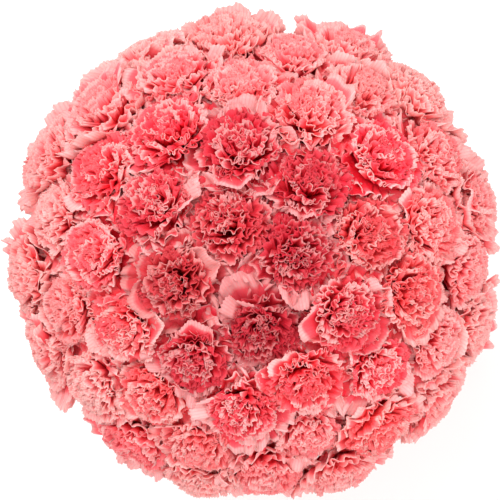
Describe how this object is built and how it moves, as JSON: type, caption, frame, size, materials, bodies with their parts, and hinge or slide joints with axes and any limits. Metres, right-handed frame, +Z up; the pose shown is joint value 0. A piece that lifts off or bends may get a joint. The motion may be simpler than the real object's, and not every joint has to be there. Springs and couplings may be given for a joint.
{
  "type": "bunch of carnations",
  "caption": "Domed, hand-tied bunch of coral-pink double carnations, standing on the level-cut ends of its spiralled stems, bound with natural twine.",
  "frame": {"origin": "middle of the bunch's level-cut foot, on the surface it stands on", "axes": "+Z up along the bunch, from the cut stem ends towards the top of the flower dome; +X and +Y level"},
  "size_m": [0.3523, 0.3506, 0.4238],
  "materials": {
    "petal": "soft, slightly translucent petal, paler at its toothed edge",
    "stalk": "smooth green calyx, stem and leaves with a pale, waxy grey-green bloom",
    "twine": "matt, hairy natural fibre"
  },
  "bodies": {
    "root": {"carnation_01": "petal", "carnation_02": "petal", "carnation_03": "petal", "carnation_04": "petal", "carnation_05": "petal", "carnation_06": "petal", "carnation_07": "petal", "carnation_08": "petal", "carnation_09": "petal", "carnation_10": "petal", "carnation_11": "petal", "carnation_12": "petal", "carnation_13": "petal", "carnation_14": "petal", "carnation_15": "petal", "carnation_16": "petal", "carnation_17": "petal", "carnation_18": "petal", "carnation_19": "petal", "carnation_20": "petal", "carnation_21": "petal", "carnation_22": "petal", "carnation_23": "petal", "carnation_24": "petal", "carnation_25": "petal", "carnation_26": "petal", "carnation_27": "petal", "carnation_28": "petal", "carnation_29": "petal", "carnation_30": "petal", "carnation_31": "petal", "carnation_32": "petal", "carnation_33": "petal", "carnation_34": "petal", "carnation_35": "petal", "carnation_36": "petal", "carnation_37": "petal", "carnation_38": "petal", "carnation_39": "petal", "carnation_40": "petal", "carnation_41": "petal", "carnation_42": "petal", "carnation_43": "petal", "carnation_44": "petal", "carnation_45": "petal", "carnation_46": "petal", "carnation_47": "petal", "carnation_48": "petal", "carnation_49": "petal", "carnation_50": "petal", "binding_twine": "twine"}
  },
  "joints": []
}
